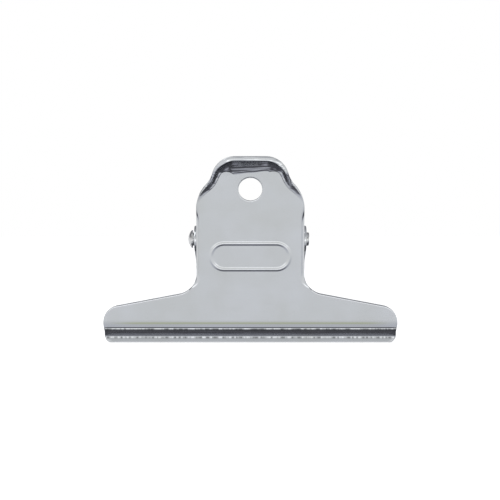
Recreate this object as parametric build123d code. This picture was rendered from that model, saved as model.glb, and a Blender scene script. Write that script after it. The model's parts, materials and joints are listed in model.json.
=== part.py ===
from build123d import *
import math
import os

# Steel letter clip: two pressed sheet plates hinged on a rivet and closed by a torsion spring.
# Millimetres, +Z up, jaws along X, front plate towards -Y, origin under the middle of the jaws.

# Sheet and lean of the plates
SHEET = 0.8
LEAN_DEG = 13.0
PIVOT_HEIGHT = 31.0

# Jaw section, from the lip's lower edge up to the flat plate
JAW_GAP = 0.2
LIP_HEIGHT = 2.1
LIP_FLARE_DEG = 12.0
BEAD_RADIUS = 0.9
THROAT_HEIGHT = 1.85
THROAT_DEG = 50.0
CREASE_RADIUS = 2.2
CHEEK_HEIGHT = 2.25
CHEEK_DEG = 23.0
CHEEK_RADIUS = 5.0

# Front outline of the jaw and its wings
JAW_HALF_WIDTH = 44.0
LIP_INSET = 0.35
LIP_CORNER_RADIUS = 2.0
WING_END_RADIUS = 5.0
WING_END_SHARE = 0.9
WING_SLOPE_DEG = 10.7
ROOT_DROP = 15.7
ROOT_FILLET_RADIUS = 6.3
ROOT_LAP = 0.25
ROOT_RUN_OUT = 1.6

# Stem, its folded sides and their pivot ears, heights along the plate from the pivot
STEM_HALF_WIDTH = 16.15
FOLD_INNER_RADIUS = 0.5
FOLD_DEPTH = 3.0
FOLD_TOP = 13.6
FOLD_TOP_RUN_OUT = 2.6
FOLD_BOTTOM_RUN_OUT = 1.0
FOLD_LAP = 1.0
FOLD_CORNER_RADIUS = 1.0
EAR_HALF_HEIGHT = 5.6
EAR_ROOT_RADIUS = 1.5
EAR_TIP_RADIUS = 4.0
EAR_GAP = 0.2

# Rolled rim round the top of the handle
RIM_TOP = 27.9
RIM_TOP_HALF_LENGTH = 4.95
RIM_INNER_RADIUS = 2.8
RIM_TURN_DEG = 68.0
RIM_STRAIGHT = 0.5
RIM_CORNER_RADIUS = 6.6
RIM_CORNER_TURN_DEG = 74.0
RIM_WAIST_RADIUS = 9.3
RIM_WAIST_TURN_DEG = 26.0
RIM_TAPER_DEG = 26.0

# Hanging hole
HANG_RADIUS = 3.6
HANG_RISE = 17.5

# Rivet
RIVET_RADIUS = 1.5
RIVET_CLEARANCE = 0.05
RIVET_END_CLEARANCE = 0.05
COLLAR_RADIUS = 2.0
COLLAR_THICKNESS = 0.4
HEAD_RADIUS = 2.7
HEAD_EDGE = 0.35
HEAD_DOME = 1.05
CLINCH_RADIUS = 2.05
CLINCH_THICKNESS = 0.85
CLINCH_ROUND = 0.45
CLINCH_TURN_DEG = 45.0
DIMPLE_RADIUS = 1.0
DIMPLE_DEPTH = 0.5

# Torsion spring
WIRE_RADIUS = 0.8
WIRE_SIDES = 9
COIL_RADIUS = 3.5
COIL_PITCH = 2.6
COIL_WHOLE_TURNS = 4
COIL_STEPS_PER_TURN = 4
LEG_REACH = 14.5
LEG_GAP = 0.1
POINTS_PER_EDGE = 12

lean = math.radians(LEAN_DEG)
across = Vector(1, 0, 0)
outward = Vector(0, -math.cos(lean), -math.sin(lean))
upward = Vector(0, -math.sin(lean), math.cos(lean))
pivot = Vector(0, 0, PIVOT_HEIGHT)
overshoot = 2 * RIM_TOP


def jaw_points():
    """Corners of the plate's front face in (y, z), from the lip's edge to the level of the pivot."""
    bead = Vector(0, LIP_HEIGHT)
    edge = bead - Vector(LIP_HEIGHT * math.tan(math.radians(LIP_FLARE_DEG)), LIP_HEIGHT)
    crease = bead + Vector(-THROAT_HEIGHT * math.tan(math.radians(THROAT_DEG)), THROAT_HEIGHT)
    cheek = crease + Vector(-CHEEK_HEIGHT * math.tan(math.radians(CHEEK_DEG)), CHEEK_HEIGHT)
    rise = PIVOT_HEIGHT - cheek.Y
    top = cheek + Vector(-rise * math.tan(lean), rise)
    return [edge, bead, crease, cheek, top]


def jaw_section():
    """Section of the bent sheet in (y, z), whose bead stops half the jaw gap short of y = 0."""
    radii = (BEAD_RADIUS, CREASE_RADIUS, CHEEK_RADIUS)
    line = FilletPolyline(*jaw_points(), radius=radii)
    band = make_face(line.wire().offset_2d(SHEET, side=Side.RIGHT, closed=True))
    shift = -JAW_GAP / 2 - band.bounding_box().max.X
    return band.moved(Location((shift, 0, 0))), shift


section, section_shift = jaw_section()
plate_top = jaw_points()[-1] + Vector(section_shift, 0)
pivot_depth = (Vector(0, plate_top.X, plate_top.Y) - pivot).dot(outward)
foot = pivot + outward * pivot_depth
face_plane = Plane(origin=foot, x_dir=across, z_dir=outward)
side_plane = Plane(origin=foot, x_dir=outward * -1, z_dir=across)
ear_splay = (SHEET + EAR_GAP) / (2 * pivot_depth)

slope = math.radians(WING_SLOPE_DEG)
rim_turn = math.radians(RIM_TURN_DEG)
rim_reach = (RIM_INNER_RADIUS + SHEET) * math.sin(rim_turn) + RIM_STRAIGHT * math.cos(rim_turn)

fold_radius = FOLD_INNER_RADIUS + SHEET
root_corner = PIVOT_HEIGHT - ROOT_DROP
wing_end = root_corner - (JAW_HALF_WIDTH - STEM_HALF_WIDTH) * math.tan(slope)
wing_side = LIP_HEIGHT + THROAT_HEIGHT
wing_end_limit = WING_END_SHARE * (wing_end - wing_side) / math.tan((math.pi / 2 - slope) / 2)
root_top = root_corner + ROOT_FILLET_RADIUS * math.tan((math.pi / 2 - slope) / 2) + ROOT_LAP
fold_bottom = (root_top - foot.Z) / math.cos(lean) - FOLD_LAP


def jaw_and_wings():
    """Bent section along X, cut to the front outline of the lip, the wings and the stem's root."""
    right = [
        (JAW_HALF_WIDTH - LIP_INSET, 0),
        (JAW_HALF_WIDTH, wing_side),
        (JAW_HALF_WIDTH, wing_end),
        (STEM_HALF_WIDTH, root_corner),
        (STEM_HALF_WIDTH, root_top),
        (STEM_HALF_WIDTH - fold_radius, root_top + ROOT_RUN_OUT),
    ]
    left = [(-x, z) for x, z in reversed(right)]
    radii = [LIP_CORNER_RADIUS, 0, min(WING_END_RADIUS, wing_end_limit), ROOT_FILLET_RADIUS, 0, 0]
    outline = FilletPolyline(*right, *left, radius=radii + radii[::-1], close=True)
    blank = extrude(Plane.YZ * section, amount=JAW_HALF_WIDTH, both=True)
    cutter = extrude(Plane.XZ * make_face(outline.edges()), amount=overshoot, both=True)
    return blank & cutter


def tangent_point(point, centre, radius, side):
    """Point where the line from point touches the circle, on its left (side 1) or right (side -1)."""
    span = point - centre
    angle = math.atan2(span.Y, span.X) + side * math.acos(radius / span.length)
    return centre + Vector(math.cos(angle), math.sin(angle)) * radius


def folded_stem(splay):
    """Stem with both sides folded back, and an ear on each that closes round the pivot."""
    depth = pivot_depth + EAR_TIP_RADIUS
    right_side = [(STEM_HALF_WIDTH, 0), (STEM_HALF_WIDTH + splay * depth, depth)]
    left_side = [(-x, y) for x, y in reversed(right_side)]
    channel_line = FilletPolyline(*left_side, *right_side, radius=fold_radius)
    channel_face = make_face(channel_line.wire().offset_2d(SHEET, side=Side.LEFT, closed=True))
    channel_plane = Plane(origin=foot + upward * fold_bottom, x_dir=across, z_dir=upward)
    channel = extrude(channel_plane * channel_face, amount=FOLD_TOP - fold_bottom)

    centre = Vector(pivot_depth, 0)
    upper_root = Vector(FOLD_DEPTH, EAR_HALF_HEIGHT)
    lower_root = Vector(FOLD_DEPTH, -EAR_HALF_HEIGHT)
    upper_touch = tangent_point(upper_root, centre, EAR_TIP_RADIUS, -1)
    lower_touch = tangent_point(lower_root, centre, EAR_TIP_RADIUS, 1)
    edge_points = [
        lower_touch,
        lower_root,
        (FOLD_DEPTH, fold_bottom + FOLD_BOTTOM_RUN_OUT),
        (SHEET, fold_bottom),
        (0, fold_bottom),
        (0, FOLD_TOP),
        (FOLD_DEPTH, FOLD_TOP - FOLD_TOP_RUN_OUT),
        upper_root,
        upper_touch,
    ]
    radii = [EAR_ROOT_RADIUS, FOLD_CORNER_RADIUS, 0, 0, 0, FOLD_CORNER_RADIUS, EAR_ROOT_RADIUS]
    sides = FilletPolyline(*edge_points, radius=radii)
    tip = ThreePointArc(upper_touch, centre + Vector(EAR_TIP_RADIUS, 0), lower_touch)
    outline = make_face(sides.edges() + [tip])
    return channel & extrude(side_plane * outline, amount=JAW_HALF_WIDTH, both=True)


def rim_path():
    """Line along which the flat plate starts to roll into the rim, in (x, height along the plate)."""
    corner_turn = math.radians(RIM_CORNER_TURN_DEG)
    waist_turn = math.radians(RIM_WAIST_TURN_DEG)
    shoulder_turn = math.pi / 2 - corner_turn + waist_turn
    corner_radius = RIM_CORNER_RADIUS - rim_reach
    waist_radius = RIM_WAIST_RADIUS + rim_reach
    steep = shoulder_turn - waist_turn
    waist_end = RIM_TOP_HALF_LENGTH + corner_radius * math.cos(steep)
    waist_end += waist_radius * (math.cos(steep) - math.cos(shoulder_turn))
    side = STEM_HALF_WIDTH - rim_reach
    shoulder_radius = (side - waist_end) / (1 - math.cos(shoulder_turn))
    drop = corner_radius * (1 - math.sin(steep))
    drop += waist_radius * (math.sin(shoulder_turn) - math.sin(steep))
    drop += shoulder_radius * math.sin(shoulder_turn)
    start = Vector(-side, RIM_TOP - rim_reach - drop)
    shoulder = JernArc(start, (0, 1), shoulder_radius, -math.degrees(shoulder_turn))
    waist = JernArc(shoulder @ 1, shoulder % 1, waist_radius, RIM_WAIST_TURN_DEG)
    corner = JernArc(waist @ 1, waist % 1, corner_radius, -RIM_CORNER_TURN_DEG)
    half = [shoulder, waist, corner]
    other = [mirror(edge, Plane.YZ) for edge in reversed(half)]
    top = Line(corner @ 1, mirror(corner, Plane.YZ) @ 1)
    return Wire([e for piece in (*half, top, *other) for e in piece.edges()]), start


def handle():
    """Flat handle with its rolled rim, which runs out at the shoulders."""
    path, start = rim_path()
    foot_line = Polyline(start, (start.X, 0), (-start.X, 0), (-start.X, start.Y))
    flat = extrude(face_plane * make_face(path.edges() + foot_line.edges()), amount=-SHEET)

    inner_end = Vector(math.sin(rim_turn), 1 - math.cos(rim_turn)) * RIM_INNER_RADIUS
    along = Vector(math.cos(rim_turn), math.sin(rim_turn))
    through = Vector(along.Y, -along.X) * SHEET
    outer_end = inner_end + through
    lip = along * RIM_STRAIGHT
    inner_arc = TangentArc((0, 0), inner_end, tangent=(1, 0))
    outer_arc = TangentArc((0, -SHEET), outer_end, tangent=(1, 0))
    edge = Polyline(inner_end, inner_end + lip, outer_end + lip, outer_end)
    base = Line((0, 0), (0, -SHEET))
    rim_face = make_face([inner_arc, outer_arc, base] + edge.edges())
    path_in_place = face_plane * path
    rim_start = foot + across * start.X + upward * start.Y
    rim_plane = Plane(origin=rim_start, x_dir=across * -1, z_dir=upward)
    rim = sweep(rim_plane * rim_face, path=path_in_place)
    taper = math.radians(RIM_TAPER_DEG)
    trim_normal = outward * math.cos(taper) - upward * math.sin(taper)
    trim_plane = Plane(origin=foot + upward * start.Y, x_dir=across, z_dir=trim_normal)
    return flat + split(rim, bisect_by=trim_plane, keep=Keep.BOTTOM)


def front_pressing(splay):
    """One whole plate, standing as the front one: jaw, wings, folded stem, handle and holes."""
    plate = jaw_and_wings() + folded_stem(splay) + handle()
    hang_place = Plane(origin=foot + upward * HANG_RISE, x_dir=across, z_dir=outward)
    hang_hole = hang_place * Cylinder(HANG_RADIUS, overshoot)
    hang_hole &= hang_place * Box(overshoot, overshoot, 2 * pivot_depth)
    pivot_hole = Cylinder(RIVET_RADIUS + RIVET_CLEARANCE, 2 * JAW_HALF_WIDTH)
    pivot_place = Plane(origin=pivot, x_dir=upward, z_dir=across)
    return plate - hang_hole - pivot_place * pivot_hole


def pivot_rivet():
    """Rivet turned about X, with a domed head on the left and a rolled end on the right."""
    seat = STEM_HALF_WIDTH + ear_splay * (pivot_depth + COLLAR_RADIUS) + RIVET_END_CLEARANCE
    under_head = seat + COLLAR_THICKNESS
    rim = under_head + HEAD_EDGE
    end = seat + CLINCH_THICKNESS
    dome = TangentArc((-rim - HEAD_DOME, 0), (-rim, HEAD_RADIUS), tangent=(0, 1))
    shank = Polyline(
        (-rim, HEAD_RADIUS),
        (-under_head, HEAD_RADIUS),
        (-under_head, COLLAR_RADIUS),
        (-seat, COLLAR_RADIUS),
        (-seat, RIVET_RADIUS),
        (seat, RIVET_RADIUS),
        (seat, CLINCH_RADIUS),
        (end - CLINCH_ROUND, CLINCH_RADIUS),
    )
    dip = (math.pi / 2 - math.radians(CLINCH_TURN_DEG)) / 2
    roll_heading = (math.cos(dip), -math.sin(dip))
    roll = TangentArc(shank @ 1, (end, CLINCH_RADIUS - CLINCH_ROUND), tangent=roll_heading)
    rim_flat = Line(roll @ 1, (end, DIMPLE_RADIUS))
    dimple = TangentArc((end - DIMPLE_DEPTH, 0), rim_flat @ 1, tangent=(0, 1))
    axis_line = Line(dimple @ 0, dome @ 0)
    half = make_face([dome, roll, rim_flat, dimple, axis_line] + shank.edges())
    return Location(pivot) * revolve(half, axis=Axis.X)


def biarc(start, start_heading, end, end_heading):
    """Two arcs that join smoothly between two points with given headings."""
    span = end - start
    both = start_heading + end_heading
    spread = 4 - both.dot(both)
    reach = (math.sqrt(span.dot(both) ** 2 + spread * span.dot(span)) - span.dot(both)) / spread
    first_hold = start + start_heading * reach
    second_hold = end - end_heading * reach
    middle = (first_hold + second_hold) * 0.5
    heading = (second_hold - first_hold).normalized()
    first = Edge.make_tangent_arc(start, start_heading, middle)
    return [first, Edge.make_tangent_arc(middle, heading, end)]


def spring_path():
    """Wire's centre line: front leg, coil round the pivot and rear leg."""
    leg_depth = SHEET + LEG_GAP + WIRE_RADIUS
    tip = foot + upward * LEG_REACH - outward * leg_depth - pivot
    tip_angle = math.atan2(tip.Z, tip.Y)
    touch = tip_angle + math.acos(COIL_RADIUS / tip.length)
    turn = (math.pi - touch) - touch + 2 * math.pi * (COIL_WHOLE_TURNS + 1)
    steps = round(turn / (2 * math.pi) * COIL_STEPS_PER_TURN)
    step = turn / steps
    advance = COIL_PITCH * step / (2 * math.pi)
    half_length = advance * (steps - 1) / 2

    points = []
    headings = []
    for index in range(steps + 1):
        angle = touch + index * step
        at_end = index in (0, steps)
        x = -half_length + advance * (index - 0.5)
        x = max(-half_length, min(half_length, x))
        climb = 0 if at_end else advance / step
        around = Vector(0, -math.sin(angle), math.cos(angle)) * COIL_RADIUS
        radial = Vector(0, math.cos(angle), math.sin(angle)) * COIL_RADIUS
        points.append(pivot + radial + Vector(x, 0, 0))
        headings.append((around + Vector(climb, 0, 0)).normalized())

    front_tip = pivot + Vector(-half_length, tip.Y, tip.Z)
    rear_tip = pivot + Vector(half_length, -tip.Y, tip.Z)
    edges = [Edge.make_line(front_tip, points[0])]
    for index in range(steps):
        edges += biarc(points[index], headings[index], points[index + 1], headings[index + 1])
    edges.append(Edge.make_line(points[-1], rear_tip))
    return edges


def least_gap(edges):
    """Smallest gap of the wire to itself, on points more than half a turn apart along it."""
    points = []
    places = []
    walked = 0.0
    for edge in edges:
        for index in range(POINTS_PER_EDGE):
            share = index / POINTS_PER_EDGE
            points.append(edge @ share)
            places.append(walked + share * edge.length)
        walked += edge.length
    half_turn = math.pi * COIL_RADIUS
    gaps = [
        (points[i] - points[j]).length - 2 * WIRE_RADIUS
        for i in range(len(points))
        for j in range(i)
        if places[i] - places[j] > half_turn
    ]
    return min(gaps)


def torsion_spring():
    """Wire along the spring's centre line, in one unbroken tube of flat-sided section."""
    edges = spring_path()
    print("least gap of the wire to itself:", round(least_gap(edges), 3), "mm")
    path = Wire(edges)
    start = Plane(origin=edges[0] @ 0, z_dir=edges[0] % 0)
    return sweep(start * RegularPolygon(WIRE_RADIUS, WIRE_SIDES), path=path)


pieces = {
    "front_plate": front_pressing(-ear_splay),
    "rear_plate": mirror(front_pressing(ear_splay), Plane.XZ),
    "pivot_rivet": pivot_rivet(),
    "torsion_spring": torsion_spring(),
}
os.makedirs("parts", exist_ok=True)
for name, piece in pieces.items():
    export_step(piece, f"parts/{name}.step")
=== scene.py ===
"""Letter clip of plated sheet steel: two bent plates, a pivot rivet, a wound spring and a plain studio."""
import json
import math
from collections import namedtuple

import bmesh
import bpy
from bpy.props import FloatProperty, FloatVectorProperty, IntProperty, PointerProperty
from mathutils import Matrix, Vector
from mathutils.geometry import delaunay_2d_cdt


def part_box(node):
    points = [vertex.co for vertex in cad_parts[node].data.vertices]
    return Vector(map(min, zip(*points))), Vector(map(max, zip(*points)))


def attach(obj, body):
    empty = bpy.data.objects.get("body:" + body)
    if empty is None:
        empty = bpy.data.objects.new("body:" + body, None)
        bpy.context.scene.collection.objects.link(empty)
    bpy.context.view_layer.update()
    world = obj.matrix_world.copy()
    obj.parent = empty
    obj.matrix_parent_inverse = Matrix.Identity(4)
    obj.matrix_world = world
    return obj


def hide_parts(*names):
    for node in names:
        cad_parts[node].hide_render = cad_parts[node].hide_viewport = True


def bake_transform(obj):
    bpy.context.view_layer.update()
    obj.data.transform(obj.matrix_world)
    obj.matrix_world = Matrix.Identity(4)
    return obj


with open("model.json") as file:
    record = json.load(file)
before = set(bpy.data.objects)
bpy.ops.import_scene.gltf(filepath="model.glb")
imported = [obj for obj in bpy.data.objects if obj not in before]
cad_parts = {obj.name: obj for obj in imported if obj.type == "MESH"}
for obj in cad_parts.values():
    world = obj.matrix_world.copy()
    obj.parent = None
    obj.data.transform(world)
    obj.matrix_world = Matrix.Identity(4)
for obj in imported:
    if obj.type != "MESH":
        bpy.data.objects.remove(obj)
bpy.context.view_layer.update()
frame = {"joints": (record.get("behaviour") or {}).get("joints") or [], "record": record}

bl_info = {
    "name": "Letter Clip",
    "version": (1, 0, 0),
    "blender": (4, 5, 0),
    "location": "3D View > Sidebar > Clip",
    "description": "Builds a sprung letter clip of plated sheet steel around its packed frame",
    "category": "Object",
}

# Places and directions that the frame gives, with all lengths in metres
MM = 0.001
WELD = 0.002 * MM
ACROSS = Vector((1, 0, 0))
MOUNTS = {mount["name"]: mount for mount in frame["record"]["mounts"]}
HANG_HOLE = MOUNTS["hanging_hole_front"]
PIVOT = Vector(frame["joints"][0]["pos_m"])
OUTWARD = Vector(HANG_HOLE["axis"]).normalized()
UPWARD = OUTWARD.cross(ACROSS)
LEAN = math.asin(-OUTWARD.z)

# Fineness of curves and of rounded edges
LARGEST_TURN = math.radians(6)
EDGE_SEGMENTS = 3


def length(name, millimetres, about):
    """Property for a length, given in millimetres and kept in metres."""
    return FloatProperty(
        name=name, description=about, default=millimetres * MM, min=0.0, precision=5,
        subtype="DISTANCE", unit="LENGTH",
    )


def angle(name, degrees, about):
    """Property for an angle, given in degrees."""
    return FloatProperty(
        name=name, description=about, default=math.radians(degrees), subtype="ANGLE", unit="ROTATION"
    )


def count(name, number, about):
    """Property for a whole number."""
    return IntProperty(name=name, description=about, default=number, min=1)


def share(name, value, about):
    """Property for a share between nothing and all."""
    return FloatProperty(name=name, description=about, default=value, min=0.0, max=1.0, subtype="FACTOR")


def colour(name, rgb, about):
    """Property for a colour in linear light."""
    return FloatVectorProperty(name=name, description=about, default=rgb, size=3, min=0, subtype="COLOR")


class ClipPlateSizes(bpy.types.PropertyGroup):
    """Sizes of the two bent plates."""

    sheet: length("Sheet", HANG_HOLE["dims"]["length_mm"], "Thickness of the sheet steel")
    edge_round: length("Edge round", 0.13, "Rounding of the cut edges")
    land: length("Land", 0.38, "Sheared strip on the inner side of the rim's cut edge")
    land_turn: angle("Land turn", 16, "Turn of the sheared strip from the cut edge")
    swell: length("Swell", 0.65, "How much thicker the rim's top is upset at its edge")
    land_round: length("Land round", 0.25, "Rounding between the rim and the sheared strip")
    lip_height: length("Lip height", 2.0, "Height of the flared lip")
    lip_flare: angle("Lip flare", 12, "How far the lip leans out below the bead")
    bead_radius: length("Bead radius", 1.2, "Bend between lip and throat")
    throat_height: length("Throat height", 2.05, "Height of the throat above the bead")
    throat_lean: angle("Throat lean", 50, "How far the throat leans out")
    groove_height: length("Groove height", 0.6, "Height of the pressed groove along the crease")
    groove_lean: angle("Groove lean", 37, "Lean of the groove's upper flank")
    groove_wall: angle("Groove wall", 5, "Lean of the groove's lower flank")
    groove_radius: length("Groove radius", 0.12, "Rounding of the groove's corners")
    cheek_height: length("Cheek height", 1.85, "Height of the cheek above the crease")
    cheek_lean: angle("Cheek lean", 21.3, "How far the cheek leans out")
    cheek_radius: length("Cheek radius", 14.0, "Bend between cheek and plate")
    lip_inset: length("Lip inset", 0.35, "How far the lip's ends stand in from the jaw's ends")
    lip_corner: length("Lip corner", 2.4, "Rounding of the lip's lower corners")
    wing_end_radius: length("Wing end radius", 5.0, "Rounding of the wings' upper corners")
    wing_slope: angle("Wing slope", 10.7, "Slope of the wings' top edge")
    root_drop: length("Root drop", 15.55, "Depth of the stem's root corner below the pivot")
    root_radius: length("Root radius", 6.3, "Rounding where stem and wing meet")
    fold_foot: length("Fold foot", 16.0, "Height where the side fold runs out on the root")
    stem_half_width: length("Stem half width", 16.15, "Half the stem's width over its folded sides")
    fold_inner: length("Fold radius", 0.5, "Inner radius of the side fold")
    fold_depth: length("Fold depth", 3.0, "Depth of the folded side below the ear")
    fold_top: length("Fold top", 6.4, "Height above the pivot where the folded side ends")
    fold_cross: length("Fold cross-over", 13.2, "Height above the pivot where fold turns to rim")
    flange_corner: length("Flange corner", 0.5, "Rounding of the folded side's lower end")
    ear_root_depth: length("Ear root depth", 5.6, "Depth of the ear's lower root below the pivot")
    ear_root: length("Ear root radius", 1.5, "Rounding where the ear leaves the folded side")
    ear_tip: length("Ear tip radius", 4.0, "Rounding of the ear about the pivot")
    ear_gap: length("Ear gap", 0.2, "Gap between the nested ears")
    rim_top: length("Rim top", 27.4, "Height of the rim above the pivot, along the plate")
    rim_half: length("Rim half length", 4.6, "Half the straight run of the rim's top")
    side_turn: angle("Side turn", 80, "How far the rim's sides are rolled forward")
    side_lip: length("Side lip", 1.5, "Straight strip at the edge of the rim's sides")
    side_radius: length("Side radius", 1.2, "Inner radius of the rim at the handle's sides")
    crown_turn: angle("Crown turn", 68, "How far the rim's top is rolled forward")
    crown_lip: length("Crown lip", 0.4, "Straight strip at the edge of the rim's top")
    crown_radius: length("Crown radius", 4.4, "Inner radius of the rim along the handle's top")
    crown_skew: share("Crown skew", 0.14, "How much tighter the top is rolled at its right end")
    corner_radius: length("Corner radius", 6.9, "Rounding of the handle's upper corners")
    corner_turn: angle("Corner turn", 74, "Turn of the handle's upper corners")
    waist_radius: length("Waist radius", 9.3, "Hollow below the handle's corners")
    waist_turn: angle("Waist turn", 26, "Turn of the hollow below the corners")
    border_length: length("Border length", 25.0, "Length of the plain raised frame on the front")
    border_height: length("Border height", 9.4, "Height of the plain raised frame on the front")
    border_drop: length("Border drop", 3.1, "Centre of the raised frame below the pivot")
    border_bead: length("Border bead", 1.5, "Width of the raised frame's bead")
    border_rise: length("Border rise", 0.2, "How far the raised frame stands out")


class ClipRivetSizes(bpy.types.PropertyGroup):
    """Sizes of the pivot rivet."""

    radius: length("Shank radius", 1.5, "Radius of the shank")
    clearance: length("Clearance", 0.05, "Play between the rivet and the ears")
    collar_radius: length("Collar radius", 2.0, "Radius of the collar under the head")
    collar_thickness: length("Collar thickness", 0.4, "Thickness of the collar under the head")
    head_radius: length("Head radius", 2.7, "Radius of the domed head")
    head_edge: length("Head edge", 0.35, "Straight edge of the domed head")
    head_dome: length("Head dome", 1.05, "Height of the dome")
    clinch_radius: length("Clinch radius", 2.05, "Radius of the rolled end")
    clinch_thickness: length("Clinch thickness", 0.85, "Thickness of the rolled end")
    clinch_round: length("Clinch round", 0.45, "Rounding of the rolled end")
    dimple_radius: length("Dimple radius", 1.0, "Radius of the dimple in the rolled end")
    dimple_depth: length("Dimple depth", 0.5, "Depth of the dimple in the rolled end")
    sides: count("Sides", 72, "Steps round the rivet")


class ClipSpringSizes(bpy.types.PropertyGroup):
    """Sizes of the torsion spring."""

    wire_radius: length("Wire radius", 0.8, "Radius of the spring wire")
    wire_sides: count("Wire sides", 20, "Steps round the wire")
    coil_radius: length("Coil radius", 3.5, "Radius of the coil's centre line")
    coil_pitch: length("Coil pitch", 2.6, "Advance of the coil in one turn")
    coil_turns: count("Whole turns", 4, "Whole turns between the two legs")
    steps_per_turn: count("Steps per turn", 40, "Points of the centre line in one turn")
    leg_reach: length("Leg reach", 14.5, "Height of the legs' tips above the pivot, along the plate")
    leg_gap: length("Leg gap", 0.1, "Gap between a leg and its plate")


class ClipFinish(bpy.types.PropertyGroup):
    """Colours and gloss of the three metals."""

    plate_bright: colour("Plate, bright", (0.595, 0.612, 0.64), "Clean nickel on the plates")
    plate_dull: colour("Plate, dull", (0.55, 0.565, 0.57), "Handled nickel on the plates")
    # Painted shade: a dark colour laid into the jaw's bends at the bead and the crease, broken into dashes
    # where the highlight is left
    plate_painted_shade: colour("Plate, grime", (0.14, 0.145, 0.15), "Grime in the jaw's bends")
    # Yellowish, darker tint along the bend above the cheek
    plate_bend_tint: colour("Plate, stain", (0.46, 0.49, 0.34), "Tarnish along the bend above the cheek")
    plate_rough: share("Plate roughness", 0.13, "Mean roughness of the plates")
    rivet_bright: colour("Rivet, bright", (0.62, 0.625, 0.635), "Clean nickel on the rivet")
    rivet_dull: colour("Rivet, dull", (0.47, 0.47, 0.46), "Worn nickel on the rivet")
    rivet_rough: share("Rivet roughness", 0.2, "Mean roughness of the rivet")
    wire_bright: colour("Wire, bright", (0.50, 0.505, 0.52), "Ridges of the drawn wire")
    wire_dull: colour("Wire, dull", (0.36, 0.36, 0.37), "Hollows of the drawn wire")
    wire_rough: share("Wire roughness", 0.27, "Mean roughness of the wire")


class ClipStageSizes(bpy.types.PropertyGroup):
    """Sizes and light of the studio."""

    floor_radius: length("Floor radius", 6000, "Radius of the round floor")
    camera_distance: length("Camera distance", 1200, "Distance from the clip to the camera")
    aim_side: length("Aim side", 0.1, "How far left of the clip's middle the camera stands and looks")
    camera_height: length("Camera height", 38, "Height of the camera above the floor")
    aim_height: length("Aim height", 27.75, "Height at the centre of the picture")
    view_width: length("View width", 150, "Width of the picture at the clip")
    floor_colour: colour("Floor", (0.9, 0.9, 0.9), "Colour of the pale floor")
    floor_glow: share("Floor glow", 0.65, "Light of its own that keeps the floor pale")
    light_power: FloatProperty(
        name="Key light", description="Power of the soft key light in watts", default=6.0, unit="POWER"
    )


def smooth(value):
    """Ease from 0 to 1 with level ends."""
    value = max(0.0, min(1.0, value))
    return value * value * (3 - 2 * value)


def gentle(value):
    """Ease from 0 to 1 with nearly even slope."""
    return (2 * max(0.0, min(1.0, value)) + smooth(value)) / 3


def between(first, last, part):
    """Value a part of the way from first to last."""
    return first + (last - first) * part


def left_of(heading):
    """Heading turned a quarter to the left, in a plane."""
    return Vector((-heading.y, heading.x))


def trace(start, heading, moves, step, largest_turn=LARGEST_TURN):
    """Points and headings along straight runs (length, 0) and arcs (radius, turn to the left)."""
    points = [start]
    headings = [heading]
    for size, turn in moves:
        start = points[-1]
        heading = headings[-1]
        reach = abs(size * turn) if turn else size
        parts = max(1, math.ceil(reach / step), math.ceil(abs(turn) / largest_turn))
        lever = left_of(heading) * math.copysign(size, turn)
        for index in range(1, parts + 1):
            part = index / parts
            facing = Matrix.Rotation(turn * part, 2) @ heading
            if turn:
                point = start + lever - left_of(facing) * math.copysign(size, turn)
            else:
                point = start + heading * (size * part)
            points.append(point)
            headings.append(facing)
    return points, headings


def rounded(corners, radii, step):
    """Points and headings along a line through corners whose inner ones are rounded."""
    moves = []
    cut = 0.0
    for index, radius in enumerate(radii, start=1):
        before = corners[index] - corners[index - 1]
        after = corners[index + 1] - corners[index]
        turn = -before.angle_signed(after)
        tangent = radius * math.tan(abs(turn) / 2)
        moves.append((before.length - cut - tangent, 0))
        moves.append((radius, turn))
        cut = tangent
    moves.append(((corners[-1] - corners[-2]).length - cut, 0))
    return trace(corners[0], (corners[1] - corners[0]).normalized(), moves, step)


def circle(centre, radius, parts):
    """Points of a circle in a plane."""
    turn = 2 * math.pi / parts
    return [centre + Vector((math.cos(turn * i), math.sin(turn * i))) * radius for i in range(parts)]


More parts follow.
